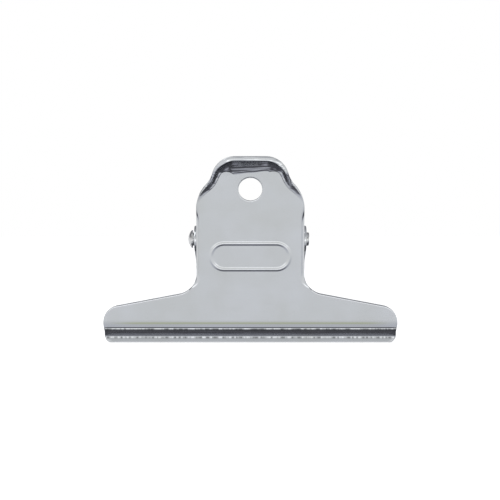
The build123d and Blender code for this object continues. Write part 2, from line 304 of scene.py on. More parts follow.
class Sheet:
    """One face of a bent sheet, gathered patch by patch and then given its thickness."""

    def __init__(self, mirrored):
        self.mesh = bmesh.new()
        self.facing = self.mesh.verts.layers.float_vector.new("facing")
        self.strain = self.mesh.verts.layers.float.new("strain")
        # Share of painted shade about the jaw's bead and crease
        self.crease = self.mesh.verts.layers.float.new("crease")
        # Share of the yellowish tint along the bend above the cheek
        self.bend_tint = self.mesh.verts.layers.float.new("bend_tint")
        self.rounding = self.mesh.edges.layers.float.new("bevel_weight_edge")
        self.hand = Vector((1, -1, 1)) if mirrored else Vector((1, 1, 1))

    def point(self, place, facing, strain=0.0, crease=0.0, bend_tint=0.0):
        """New point with its facing, the strain the press left on it and its shares of painted shade and of
        the yellowish tint, mirrored for a rear plate.
        """
        vert = self.mesh.verts.new(place * self.hand)
        vert[self.facing] = facing * self.hand
        vert[self.strain] = strain
        vert[self.crease] = crease
        vert[self.bend_tint] = bend_tint
        return vert

    def face(self, corners):
        """New face that looks the way its points do."""
        face = self.mesh.faces.new(corners)
        face.normal_update()
        facing = sum((vert[self.facing] for vert in corners), Vector())
        if face.normal.dot(facing) < 0:
            face.normal_flip()

    def grid(self, rows):
        """Faces between rows of spots, each a place, a facing and the marks on it."""
        made = [[self.point(*spot) for spot in row] for row in rows]
        for lower, upper in zip(made, made[1:]):
            for index in range(len(lower) - 1):
                self.face((lower[index], lower[index + 1], upper[index + 1], upper[index]))

    def fill(self, outline, holes, extra, lift):
        """Flat patch inside an outline, round holes and through extra points, put in place by lift."""
        points = []
        edges = []
        for loop in [outline] + [circle(*hole) for hole in holes]:
            base = len(points)
            edges += [(base + i, base + (i + 1) % len(loop)) for i in range(len(loop))]
            points += loop
        spots, _, triangles, _, _, _ = delaunay_2d_cdt(points + extra, edges, [], 1, WELD * WELD)
        made = [self.point(*lift(spot)) for spot in spots]
        for triangle in triangles:
            middle = sum((spots[i] for i in triangle), Vector((0, 0))) / len(triangle)
            if all((middle - centre).length > radius for centre, radius, _ in holes):
                self.face([made[i] for i in triangle])

    def close(self, thickness):
        """Merge the patches, add the back face and the cut edges, and mark the edges to be rounded."""
        bmesh.ops.remove_doubles(self.mesh, verts=self.mesh.verts[:], dist=WELD)
        fronts = self.mesh.faces[:]
        rims = [edge for edge in self.mesh.edges if edge.is_boundary]
        backs = {}
        for vert in self.mesh.verts[:]:
            backs[vert] = self.mesh.verts.new(vert.co - vert[self.facing] * thickness)
            backs[vert][self.strain] = vert[self.strain]
        for face in fronts:
            self.mesh.faces.new([backs[vert] for vert in reversed(face.verts)])
        for edge in rims:
            loop = edge.link_loops[0]
            first = loop.vert
            second = loop.link_loop_next.vert
            self.mesh.faces.new((second, first, backs[first], backs[second]))
            edge[self.rounding] = 0.0 if first[self.strain] + second[self.strain] else 1.0
            self.mesh.edges.get((backs[first], backs[second]))[self.rounding] = 1.0
        return self.mesh


def new_object(name, data):
    """Object in the scene at the origin."""
    made = bpy.data.objects.new(name, data)
    bpy.context.scene.collection.objects.link(made)
    return made


def apply_modifiers(piece):
    """Turn the evaluated piece into a plain mesh and drop its modifiers."""
    graph = bpy.context.evaluated_depsgraph_get()
    mesh = bpy.data.meshes.new_from_object(piece.evaluated_get(graph), depsgraph=graph)
    old = piece.data
    piece.modifiers.clear()
    piece.data = mesh
    bpy.data.meshes.remove(old)
    mesh.name = piece.name
    if not mesh.polygons:
        raise RuntimeError(f"{piece.name} came out empty")


def finished(name, mesh, width, limit, material):
    """Object from a closed mesh with rounded edges and one material."""
    data = bpy.data.meshes.new(name)
    mesh.to_mesh(data)
    mesh.free()
    data.shade_smooth()
    piece = new_object(name, data)
    bevel = piece.modifiers.new("edges", "BEVEL")
    bevel.width = width
    bevel.segments = EDGE_SEGMENTS
    bevel.limit_method = limit
    bevel.use_clamp_overlap = False
    normals = piece.modifiers.new("normals", "WEIGHTED_NORMAL")
    normals.keep_sharp = True
    piece.data.materials.append(material)
    apply_modifiers(piece)
    return piece


# Fineness of the plates, and where folds, rims and marks run out
PATH_STEP = 0.35 * MM
BEND_PARTS = 20
BEND_SUBSTEPS = 5
LAND_PARTS = 4
CROWN_LEAD = 0.2
CROWN_SHARE = 0.85
JAW_COLUMNS = 60
STRAIN_RISE = 9
# Reach of the painted shade about the bead and the crease
MARK_REACH = 0.5 * MM
# How far the yellowish tint fades in from the jaw's ends
BEND_TINT_FADE = 11 * MM
INSET_FADE = 2
EDGE_BAND = 0.35 * MM
HOLE_PARTS = 96
RIVET_HOLE_PARTS = 40
BORDER_RINGS = 8
FOLD_END_RUN = 0.5 * MM
CROSS_RUN = 0.4 * MM
FLANGE_RUN_OUT = 1.2 * MM

# One place along the bent edge: its outer point, its heading outward and the bend that it carries
Station = namedtuple("Station", "point out bend run lip strain crown")

# One place across the bend: how far along and out of the plate, how far turned, how marked, how thick
Spot = namedtuple("Spot", "along rise turned strain thick")


class Plate:
    """Places on one bent plate, standing as the front one, in plate axes: across and up from the foot."""

    def __init__(self, sizes, rivet, nested):
        hole = Vector(HANG_HOLE["pos_m"]) - PIVOT
        self.sizes = sizes
        self.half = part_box("front_plate")[1].x
        self.hang = (Vector((0, hole.dot(UPWARD))), HANG_HOLE["dims"]["r_mm"] * MM, HOLE_PARTS)
        self.depth = hole.dot(OUTWARD) + sizes.sheet / 2
        self.foot = PIVOT + OUTWARD * self.depth
        self.splay = (sizes.sheet + sizes.ear_gap) / (2 * self.depth)
        self.fold_radius = sizes.fold_inner + sizes.sheet
        self.fold_turn = math.pi / 2 + math.atan(self.splay if nested else -self.splay)
        self.fold_end = self.fold_radius * (1 - math.cos(self.fold_turn))
        self.rivet_hole = rivet.radius + rivet.clearance
        self.profile, self.profile_headings = self.jaw_profile()
        self.plain, self.stations, self.ear_stations = self.side_edge()

    def jaw_profile(self):
        """Front face of the jaw as depth and height: lip, bead, throat, groove, cheek, plate."""
        sizes = self.sizes
        drop = sizes.sheet * math.sin(sizes.lip_flare)
        corners = [Vector(((drop - sizes.lip_height) * math.tan(sizes.lip_flare), drop))]
        corners.append(Vector((0, sizes.lip_height)))
        half_groove = sizes.groove_height / 2
        crease = corners[-1] + Vector((-math.tan(sizes.throat_lean), 1)) * sizes.throat_height
        for lean, rise in (
            (sizes.throat_lean, sizes.throat_height),
            (sizes.groove_wall, half_groove),
            (sizes.groove_lean, half_groove),
        ):
            corners.append(corners[-1] + Vector((-math.tan(lean), 1)) * rise)
        cheek = crease + Vector((-math.tan(sizes.cheek_lean), 1)) * sizes.cheek_height
        flat = Vector((-math.tan(LEAN), 1))
        top = cheek + flat * (sizes.cheek_radius * math.tan(sizes.cheek_lean - LEAN))
        shift = Vector((self.foot.y - (top + flat * (self.foot.z - top.y)).x, 0))
        corners = [corner + shift for corner in (*corners, cheek, top)]
        groove = [sizes.groove_radius] * 3
        return rounded(corners, (sizes.bead_radius, *groove, sizes.cheek_radius), PATH_STEP)

    def bend_levels(self):
        """Heights of the bead's foremost line, the crease and the bend above the cheek."""
        sizes = self.sizes
        half_turn = (sizes.throat_lean + sizes.lip_flare) / 2
        drop = math.sin(sizes.throat_lean) - math.tan(half_turn) * math.cos(sizes.throat_lean)
        crease = sizes.lip_height + sizes.throat_height
        return sizes.lip_height - sizes.bead_radius * drop, crease, crease + sizes.cheek_height

    def half_width(self, height):
        """Half the jaw's width at a height, with its lower and upper corners rounded."""
        below = max(0.0, self.sizes.lip_corner - height)
        above = max(0.0, height - self.wing_start())
        width = self.half - self.sizes.lip_inset * smooth(INSET_FADE * (1 - height / self.wing_start()))
        width -= self.sizes.lip_corner - math.sqrt(self.sizes.lip_corner ** 2 - below ** 2)
        width -= self.sizes.wing_end_radius - math.sqrt(self.sizes.wing_end_radius ** 2 - above ** 2)
        return width

    def wing_start(self):
        """Height where the rounding of the wing's end starts."""
        sizes = self.sizes
        root = PIVOT.z - sizes.root_drop
        corner = root - (self.half - sizes.stem_half_width) * math.tan(sizes.wing_slope)
        return corner - sizes.wing_end_radius * math.tan((math.pi / 2 - sizes.wing_slope) / 2)

    def wing_edge(self):
        """Edge of the right wing from the jaw up to the stem, in plate axes."""
        sizes = self.sizes
        turn = math.pi / 2 - sizes.wing_slope
        base = self.profile[-1].y
        begun = math.asin((base - self.wing_start()) / sizes.wing_end_radius)
        run = (self.half - sizes.stem_half_width) / math.cos(sizes.wing_slope)
        run -= (sizes.wing_end_radius + sizes.root_radius) * math.tan(turn / 2)
        moves = [(sizes.wing_end_radius, turn - begun), (run, 0), (sizes.root_radius, -turn)]
        start = Vector((self.half_width(base), base))
        heading = Vector((-math.sin(begun), math.cos(begun)))
        points, headings = trace(start, heading, moves, PATH_STEP)
        points = [Vector((p.x, self.up_plate(p.y))) for p in points]
        headings = [Vector((h.x, h.y / math.cos(LEAN))).normalized() for h in headings]
        return points, headings

    def up_plate(self, height):
        """Distance along the plate from its foot to a height."""
        return (height - self.foot.z) / math.cos(LEAN)

    def stem_moves(self, root):
        """Moves of the stem's and handle's edge from the root up to the middle of the rim."""
        sizes = self.sizes
        exit_turn = math.pi / 2 - sizes.corner_turn
        turn = exit_turn + sizes.waist_turn
        inward = sizes.rim_half + sizes.corner_radius * math.cos(exit_turn)
        inward += sizes.waist_radius * (math.cos(exit_turn) - math.cos(turn))
        radius = (sizes.stem_half_width - inward) / (1 - math.cos(turn))
        rise = sizes.waist_radius * (math.sin(turn) - math.sin(exit_turn))
        rise += radius * math.sin(turn) + sizes.corner_radius * (1 - math.sin(exit_turn))
        return [
            (sizes.rim_top - rise - root, 0),
            (radius, turn),
            (sizes.waist_radius, -sizes.waist_turn),
            (sizes.corner_radius, sizes.corner_turn),
            (sizes.rim_half, 0),
        ]

    def side_edge(self):
        """Plain edge of the wing, the bent edge's stations and those of them that carry the ear."""
        sizes = self.sizes
        wing, wing_headings = self.wing_edge()
        foot = next(i for i, p in enumerate(wing) if p.y >= self.up_plate(sizes.fold_foot))
        moves = self.stem_moves(wing[-1].y)
        stem, stem_headings = trace(wing[-1], Vector((0, 1)), moves, PATH_STEP)
        points = wing[foot:] + stem[1:]
        headings = wing_headings[foot:] + stem_headings[1:]
        root = sum((b - a).length for a, b in zip(wing[foot:], wing[foot + 1:]))
        top = root + sizes.fold_top - wing[-1].y
        cross = root + sizes.fold_cross - wing[-1].y
        (straight, _), *bends, _ = moves
        shoulder, hollow, corner = [abs(size * turn) for size, turn in bends]
        waist = root + straight + shoulder + hollow
        crown_start = waist - corner * CROWN_LEAD
        crown_run = corner * CROWN_SHARE
        stations = []
        ear = []
        walked = 0.0
        for index, point in enumerate(points):
            walked += (point - points[index - 1]).length if index else 0.0
            out = -left_of(headings[index])
            if walked <= cross:
                rising = walked < root
                part = smooth(walked / root) if rising else gentle((cross - walked) / (cross - top))
                least = FOLD_END_RUN if rising else CROSS_RUN
                stations.append(self.fold_station(point, out, part, least))
            else:
                part = gentle((walked - cross) / (waist - cross))
                crown = smooth((walked - crown_start) / crown_run)
                stations.append(self.rim_station(point, out, part, crown))
            if walked > root - WELD and walked <= top:
                ear.append(stations[-1])
        return wing[:foot + 1], stations, ear

    def fold_station(self, point, out, part, least):
        """Station of the side fold, a part of the way from flat to fully folded back."""
        overhang = self.fold_radius * (math.sin(self.fold_turn) - math.tan(self.fold_turn / 2))
        run = between(least, self.fold_radius * self.fold_turn, part)
        return Station(point + out * (overhang * part), out, -self.fold_turn * part, run, 0.0, 0.0, 0.0)

    def rim_station(self, point, out, part, crown):
        """Station of the rim, a part of the way from flat to fully rolled and from the sides to the top."""
        sizes = self.sizes
        run = between(sizes.side_radius * sizes.side_turn, sizes.crown_radius * sizes.crown_turn, crown)
        bend = between(sizes.side_turn, sizes.crown_turn, crown) * part
        lip = between(sizes.side_lip, sizes.crown_lip, crown) * part
        return Station(point, out, bend, between(CROSS_RUN, run, part), lip, part, crown)

    def section(self, station):
        """Offsets along and out of the plate, angle, strain and share of thickness across the bend."""
        step = (station.run + station.lip) / (BEND_PARTS * BEND_SUBSTEPS)
        along = 0.0
        rise = 0.0
        spots = [Spot(0.0, 0.0, 0.0, 0.0, 1.0)]
        for index in range(BEND_PARTS * BEND_SUBSTEPS):
            part = (index + 0.5) * step / station.run
            turned = station.bend * min(1.0, part)
            along += step * math.cos(turned)
            rise += step * math.sin(turned)
            if (index + 1) % BEND_SUBSTEPS == 0:
                strain = station.strain * smooth(part * STRAIN_RISE)
                thick = 1 + self.sizes.swell / self.sizes.sheet * station.crown * smooth(part)
                spots.append(Spot(along, rise, turned, strain, thick))
        if station.strain:
            spots += self.land(station, spots[-1])
        return spots

    def land(self, station, last):
        """Spots round the rim's inner edge and over the sheared strip on it, from the bend's last spot."""
        sizes = self.sizes
        start = Vector((last.along, last.rise))
        inward = Vector((math.sin(station.bend), -math.cos(station.bend)))
        turn = (sizes.land_turn - math.pi / 2) * station.strain
        moves = [(sizes.land_round * station.strain, turn), (sizes.land * station.crown, 0)]
        heading = Vector((math.cos(station.bend), math.sin(station.bend)))
        points = trace(start, heading, moves, sizes.land, abs(turn) / LAND_PARTS + WELD)[0]
        spots = []
        for point in points[1:]:
            thick = last.thick - (point - start).dot(inward) / sizes.sheet
            spots.append(Spot(point.x, point.y, station.bend, station.strain, thick))
        return spots

    def across_bend(self, station):
        """Points in plate axes with their spots of the section, from the bend's start to the cut edge."""
        spots = self.section(station)
        last = spots[-1]
        reach = last.along + max(0.0, self.sizes.sheet * last.thick * math.sin(station.bend))
        edge = station.point + Vector((0, max(0.0, last.rise) * math.tan(LEAN)))
        return [(edge + station.out * (spot.along - reach), spot) for spot in spots]

    def bend_row(self, station, side):
        """Places, facings and strains across the bend at a station, on the right or left side."""
        row = []
        out = ACROSS * (station.out.x * side) + UPWARD * station.out.y
        for point, spot in self.across_bend(self.on_side(station, side)):
            place = self.foot + ACROSS * (point.x * side) + UPWARD * point.y + OUTWARD * spot.rise
            facing = OUTWARD * math.cos(spot.turned) - out * math.sin(spot.turned)
            row.append((place, facing * spot.thick, spot.strain))
        return row

    def jaw_rows(self):
        """Places and facings of the jaw, row by row from the lip up to the plate."""
        rows = []
        for (depth, height), heading in zip(self.profile, self.profile_headings):
            facing = left_of(heading)
            facing = Vector((0, facing.x, facing.y))
            half = self.half_width(height)
            levels = self.bend_levels()
            # Painted shade about the bead and the crease, and the yellowish tint about the bend above the
            # cheek
            bead, crease, bend_tint = [smooth(1 - abs(height - level) / MARK_REACH) for level in levels]
            painted_shade = max(bead, crease)
            row = []
            for x in self.columns(half):
                faded = bend_tint * smooth((half - abs(x)) / BEND_TINT_FADE)
                row.append((Vector((x, depth, height)), facing, 0.0, painted_shade, faded))
            rows.append(row)
        return rows

    def columns(self, half):
        """Places across the jaw, from its left end to its right."""
        return [half * (2 * i / JAW_COLUMNS - 1) for i in range(JAW_COLUMNS + 1)]

    def flat_outline(self):
        """Closed line round the flat of the plate, in plate axes."""
        height = self.profile[-1].y
        base = self.up_plate(height)
        bottom = [Vector((x, base)) for x in self.columns(self.half_width(height))]
        right, left = self.bend_starts(1), self.bend_starts(-1)
        return bottom + right + [Vector((-p.x, p.y)) for p in reversed(left[:-1])]

    def bend_starts(self, side):
        """Line from the wing's end up to the middle of the rim, along the start of the bend."""
        first, *rest = [self.across_bend(self.on_side(station, side)) for station in self.stations]
        line = self.plain[1:] + [point for point, _ in reversed(first[:-1])]
        return line + [bend[0][0] for bend in rest]

    def on_side(self, station, side):
        """Station on the right or left side, with the rim's top rolled tighter to the right."""
        away = smooth(station.point.x / self.sizes.rim_half) * side
        return station._replace(run=station.run * (1 - self.sizes.crown_skew * station.crown * away))

    def edge_points(self):
        """Points just inside the cut edges of the flat, which keep the triangles there well shaped."""
        centre, radius, parts = self.hang
        points = circle(centre, radius + EDGE_BAND, parts)
        for before, after in zip(self.plain, self.plain[1:]):
            spot = (before + after) / 2 + left_of((after - before).normalized()) * EDGE_BAND
            points += [spot, Vector((-spot.x, spot.y))]
        return points

    def border_distance(self, spot):
        """Distance of a spot on the plate from the middle of the raised frame's bead."""
        sizes = self.sizes
        radius = (sizes.border_height - sizes.border_bead) / 2
        straight = (sizes.border_length - sizes.border_height) / 2
        beyond = max(0.0, abs(spot.x) - straight)
        return math.hypot(beyond, spot.y + sizes.border_drop) - radius

    def border_points(self):
        """Points on rings along the raised frame's bead."""
        sizes = self.sizes
        straight = sizes.border_length - sizes.border_height
        points = []
        for ring in range(BORDER_RINGS + 1):
            radius = sizes.border_height / 2 - sizes.border_bead * ring / BORDER_RINGS
            start = Vector((-straight / 2, -sizes.border_drop - radius))
            moves = [(straight, 0), (radius, math.pi)] * 2
            points += trace(start, Vector((1, 0)), moves, PATH_STEP)[0][:-1]
        return points

    def on_flat(self, spot):
        """Place and facing of a spot on the flat of the plate."""
        return self.foot + ACROSS * spot.x + UPWARD * spot.y, OUTWARD

    def on_border(self, spot):
        """Place and facing of a spot on the flat, lifted where the raised frame is."""
        place, facing = self.on_flat(spot)
        away = min(1.0, abs(self.border_distance(spot)) / (self.sizes.border_bead / 2))
        return place + OUTWARD * (self.sizes.border_rise * (1 + math.cos(math.pi * away)) / 2), facing

    def ear_outline(self):
        """Closed line round the folded side and its ear, as reach beyond the bend and height."""
        sizes = self.sizes
        inner = [Vector((0, station.point.y)) for station in self.ear_stations]
        flange = self.reach(sizes.fold_depth)
        root = Vector((flange, -sizes.ear_root_depth))
        end = Vector((flange, inner[0].y + FLANGE_RUN_OUT))
        corners = [inner[-1], self.ear_corner(inner[-1], root), root, end, inner[0]]
        radii = (sizes.ear_tip, sizes.ear_root, sizes.flange_corner)
        return inner + rounded(corners, radii, PATH_STEP)[0][1:-1]

    def ear_corner(self, upper, lower):
        """Corner where the ear's two edges would meet, each a line that touches the round tip."""
        headings = []
        for start, side in ((upper, 1), (lower, -1)):
            away = Vector((self.reach(self.depth), 0)) - start
            turn = math.asin(self.sizes.ear_tip / away.length)
            headings.append(Matrix.Rotation(turn * side, 2) @ away.normalized())
        first, second = headings
        return upper + first * ((lower - upper).cross(second) / first.cross(second))

    def reach(self, depth):
        """Distance along the folded side from the end of its bend to a depth behind the plate."""
        return (depth - self.fold_end) / math.sin(self.fold_turn)

    def on_ear(self, spot, side):
        """Place and facing of a spot on the right or left folded side."""
        out = ACROSS * side
        place = self.foot + out * self.ear_stations[0].point.x + UPWARD * spot.y - OUTWARD * self.fold_end
        place += (out * math.cos(self.fold_turn) - OUTWARD * math.sin(self.fold_turn)) * spot.x
        return place, OUTWARD * math.cos(self.fold_turn) + out * math.sin(self.fold_turn)

    def build(self, mirrored, border):
        """Closed mesh of the whole plate."""
        sheet = Sheet(mirrored)
        sheet.grid(self.jaw_rows())
        lift = self.on_border if border else self.on_flat
        extra = self.edge_points() + (self.border_points() if border else [])
        sheet.fill(self.flat_outline(), [self.hang], extra, lift)
        ear_hole = (Vector((self.reach(self.depth), 0)), self.rivet_hole, RIVET_HOLE_PARTS)
        for side in (1, -1):
            sheet.grid([self.bend_row(station, side) for station in self.stations])
            sheet.fill(self.ear_outline(), [ear_hole], [], lambda spot: self.on_ear(spot, side))
        return sheet.close(self.sizes.sheet)


def rivet_profile(rivet, plate):
    """Half section of the rivet as place along the axis and radius, from the head to the rolled end."""
    seat = plate.sizes.stem_half_width + plate.splay * (plate.depth + rivet.collar_radius)
    seat += rivet.clearance
    under = seat + rivet.collar_thickness
    rim = under + rivet.head_edge
    end = seat + rivet.clinch_thickness
    dome = (rivet.head_radius ** 2 + rivet.head_dome ** 2) / (2 * rivet.head_dome)
    bowl = (rivet.dimple_radius ** 2 + rivet.dimple_depth ** 2) / (2 * rivet.dimple_depth)
    head_moves = [(dome, -math.asin(rivet.head_radius / dome))]
    bowl_moves = [(bowl, -math.asin(rivet.dimple_radius / bowl))]
    roll_start = Vector((end - rivet.clinch_round, rivet.clinch_radius))
    up = Vector((0, 1))
    head = trace(Vector((-rim - rivet.head_dome, 0)), up, head_moves, PATH_STEP)[0]
    roll = trace(roll_start, Vector((1, 0)), [(rivet.clinch_round, -math.pi / 2)], PATH_STEP)[0]
    dimple = trace(Vector((end - rivet.dimple_depth, 0)), up, bowl_moves, PATH_STEP)[0]
    shank = [
        Vector((-under, rivet.head_radius)),
        Vector((-under, rivet.collar_radius)),
        Vector((-seat, rivet.collar_radius)),
        Vector((-seat, rivet.radius)),
        Vector((seat, rivet.radius)),
        Vector((seat, rivet.clinch_radius)),
    ]
    return head + shank + roll + dimple[::-1]


def turned_mesh(profile, sides):
    """Closed mesh of a profile turned about the pivot's axis."""
    mesh = bmesh.new()
    rings = []
    for index in range(sides):
        turn = 2 * math.pi * index / sides
        spoke = Vector((0, math.cos(turn), math.sin(turn)))
        rings.append([mesh.verts.new(PIVOT + ACROSS * p.x + spoke * p.y) for p in profile])
    for index, ring in enumerate(rings):
        following = rings[(index + 1) % sides]
        for place in range(len(profile) - 1):
            mesh.faces.new((ring[place], ring[place + 1], following[place + 1], following[place]))
    bmesh.ops.remove_doubles(mesh, verts=mesh.verts[:], dist=WELD)
    bmesh.ops.recalc_face_normals(mesh, faces=mesh.faces[:])
    return mesh


def spring_line(spring, plate):
    """Centre line of the spring wire: front leg, coil about the pivot, rear leg."""
    behind = plate.sizes.sheet + spring.leg_gap + spring.wire_radius
    tip = plate.foot + UPWARD * spring.leg_reach - OUTWARD * behind - PIVOT
    touch = math.atan2(tip.z, tip.y) + math.acos(spring.coil_radius / tip.length)
    turn = math.pi - 2 * touch + 2 * math.pi * (spring.coil_turns + 1)
    climb = spring.coil_pitch / (2 * math.pi)
    ease = math.pi / 2
    half = climb * (turn - ease) / 2
    steps = round(turn / (2 * math.pi) * spring.steps_per_turn)
    points = [PIVOT + Vector((-half, tip.y, tip.z))]
    for index in range(steps + 1):
        wound = turn * index / steps
        nearest = min(wound, turn - wound)
        inward = nearest ** 2 / (2 * ease) if nearest < ease else nearest - ease / 2
        x = math.copysign(half - climb * inward, wound - turn / 2)
        radial = Vector((0, math.cos(touch + wound), math.sin(touch + wound)))
        points.append(PIVOT + ACROSS * x + radial * spring.coil_radius)
    points.append(PIVOT + Vector((half, -tip.y, tip.z)))
    return points, half


def add(tree, kind, inputs, **settings):
    """New node with its settings and its inputs, which are values or other nodes' outputs."""
    node = tree.nodes.new(kind)
    for name, value in settings.items():
        setattr(node, name, value)
    for name, value in inputs.items():
        if isinstance(value, bpy.types.NodeSocket):
            tree.links.new(value, node.inputs[name])
        else:
            node.inputs[name].default_value = value
    return node


def spread(tree, value, span, levels=(0, 1)):
    """Span of a value stretched to run over other levels, from nothing to all unless given."""
    names = ("From Min", "From Max", "To Min", "To Max")
    inputs = dict(zip(names, (*span, *levels)), Value=value)
    return add(tree, "ShaderNodeMapRange", inputs).outputs["Result"]


def calculate(tree, operation, first, second):
    """Result of a sum on two values."""
    return add(tree, "ShaderNodeMath", {0: first, 1: second}, operation=operation).outputs["Value"]


def cloud(tree, coords, grain):
    """Noise on coordinates that can be stretched into streaks."""
    mapped = add(tree, "ShaderNodeMapping", {"Vector": coords, "Scale": grain.stretch})
    inputs = {"Vector": mapped.outputs["Vector"], "Scale": grain.scale, "Detail": grain.detail}
    return add(tree, "ShaderNodeTexNoise", inputs).outputs["Fac"]


def bump(tree, *layers):
    """Normal roughened by layers of height and depth, one on top of the other."""
    below = {}
    for height, depth in layers:
        node = add(tree, "ShaderNodeBump", {"Height": height, "Distance": depth, **below})
        below = {"Normal": node.outputs["Normal"]}
    return below["Normal"]


def blend(tree, part, first, second):
    """Colour a part of the way from first to second."""
    inputs = {"Factor": part, "A": first, "B": second}
    return add(tree, "ShaderNodeMix", inputs, data_type="RGBA").outputs["Result"]


def mark(tree, name):
    """Value that the mesh carries under a name."""
    return add(tree, "ShaderNodeAttribute", {}, attribute_name=name).outputs["Fac"]


def new_metal(name):
    """Material with a bare metal shader, its tree, its shader node and the object's coordinates."""
    material = bpy.data.materials.new(name)
    material.use_nodes = True
    tree = material.node_tree
    shader = tree.nodes["Principled BSDF"]
    shader.inputs["Metallic"].default_value = 1.0
    coords = add(tree, "ShaderNodeTexCoord", {}).outputs["Object"]
    return material, tree, shader, coords


def dress(tree, shader, tint, rough, normal):
    """Colour, roughness and normal on a metal shader."""
    tree.links.new(tint, shader.inputs["Base Color"])
    tree.links.new(rough, shader.inputs["Roughness"])
    tree.links.new(normal, shader.inputs["Normal"])


def worn(tree, finish, metal, coat, wear, rough):
    """Tint from bright to dull and roughness about its mean, each led by a noise."""
    bright = (*getattr(finish, f"{metal}_bright"), 1)
    dull = (*getattr(finish, f"{metal}_dull"), 1)
    mean = getattr(finish, f"{metal}_rough")
    tint = blend(tree, spread(tree, wear, coat.wear_span), bright, dull)
    return tint, spread(tree, rough, coat.rough_span, [mean * level for level in coat.rough_levels])


# Noise by scale, detail and stretch
Grain = namedtuple("Grain", "scale detail stretch", defaults=((1, 1, 1),))

# Spans of noise that lead wear and roughness, and the least and most share of the mean roughness
Coat = namedtuple("Coat", "wear_span rough_span rough_levels")

PLATE_CLOUDS = Grain(90, 5)
PLATE_WAVES = Grain(110, 1)
ROLLING_LINES = Grain(500, 2, (0.06, 1, 3))
SCRATCHES = Grain(900, 3, (0.12, 1, 1.6))
STREAKS = Grain(800, 1.5, (0.1, 1, 1))
DASHES = Grain(900, 2, (1, 0.1, 0.1))
DASH_SPAN = (0.38, 0.58)
PLATE_COAT = Coat((0.35, 0.75), (0.35, 0.7), (0.8, 1.4))
WAVE_DEPTH = 0.006 * MM
LINE_DEPTH = 0.0006 * MM
SCRATCH_DEPTH = 0.0004 * MM
STREAK_DEPTH = 0.28 * MM


def plate_nickel(finish):
    """Bright nickel on pressed sheet: waves, handling clouds, scratches, streaked rims, a yellowish tint
    above the cheek and painted shade in the jaw's bends.
    """
    material, tree, shader, coords = new_metal("plate_nickel")
    scratches = cloud(tree, coords, SCRATCHES)
    streaks = calculate(tree, "MULTIPLY", cloud(tree, coords, STREAKS), mark(tree, "strain"))
    # Painted shade: dark colour over the jaw's bends, broken into dashes that leave the highlight there
    dashes = spread(tree, cloud(tree, coords, DASHES), DASH_SPAN)
    painted_shade = calculate(tree, "MULTIPLY", dashes, mark(tree, "crease"))
    clouds = cloud(tree, coords, PLATE_CLOUDS)
    tint, rough = worn(tree, finish, "plate", PLATE_COAT, clouds, scratches)
    normal = bump(
        tree,
        (cloud(tree, coords, PLATE_WAVES), WAVE_DEPTH),
        (cloud(tree, coords, ROLLING_LINES), LINE_DEPTH),
        (scratches, SCRATCH_DEPTH),
        (streaks, STREAK_DEPTH),
    )
    # Yellowish, darker tint along the bend above the cheek, fading towards the jaw's ends
    tint = blend(tree, mark(tree, "bend_tint"), tint, (*finish.plate_bend_tint, 1))
    # Painted shade laid over the jaw's bends
    tint = blend(tree, painted_shade, tint, (*finish.plate_painted_shade, 1))
    dress(tree, shader, tint, rough, normal)
    return material


RIVET_PATCHES = Grain(700, 4)
RIVET_MARKS = Grain(2500, 2, (2.5, 0.6, 0.6))
RIVET_COAT = Coat((0.4, 0.75), (0.3, 0.7), (0.7, 1.4))
PATCH_DEPTH = 0.008 * MM
MARK_DEPTH = 0.0008 * MM


def rivet_nickel(finish):
    """Nickel on a cold headed rivet: turned marks, dents and dull patches."""
    material, tree, shader, coords = new_metal("rivet_nickel")
    patches = cloud(tree, coords, RIVET_PATCHES)
    tint, rough = worn(tree, finish, "rivet", RIVET_COAT, patches, patches)
    normal = bump(tree, (patches, PATCH_DEPTH), (cloud(tree, coords, RIVET_MARKS), MARK_DEPTH))
    dress(tree, shader, tint, rough, normal)
    return material


DRAWING_LINES = Grain(40, 3, (1, 6, 1))
WIRE_PATCHES = Grain(260, 4)
WIRE_COAT = Coat((0.35, 0.7), (0.3, 0.7), (0.75, 1.3))
DRAWING_DEPTH = 0.002 * MM


def drawn_wire(finish):
    """Plated spring wire with drawing lines that run along it."""
    material, tree, shader, coords = new_metal("drawn_wire")
    wrapped = add(tree, "ShaderNodeCombineXYZ", {"X": mark(tree, "around"), "Y": mark(tree, "along")})
    lines = cloud(tree, wrapped.outputs["Vector"], DRAWING_LINES)
    patches = cloud(tree, coords, WIRE_PATCHES)
    tint, rough = worn(tree, finish, "wire", WIRE_COAT, lines, patches)
    dress(tree, shader, tint, rough, bump(tree, (lines, DRAWING_DEPTH)))
    return material


def chain(tree, geometry, *steps):
    """Geometry led through nodes one after the other, each a kind with its other inputs."""
    for kind, inputs in steps:
        node = add(tree, kind, inputs)
        tree.links.new(geometry, node.inputs[0])
        geometry = node.outputs[0]
    return geometry


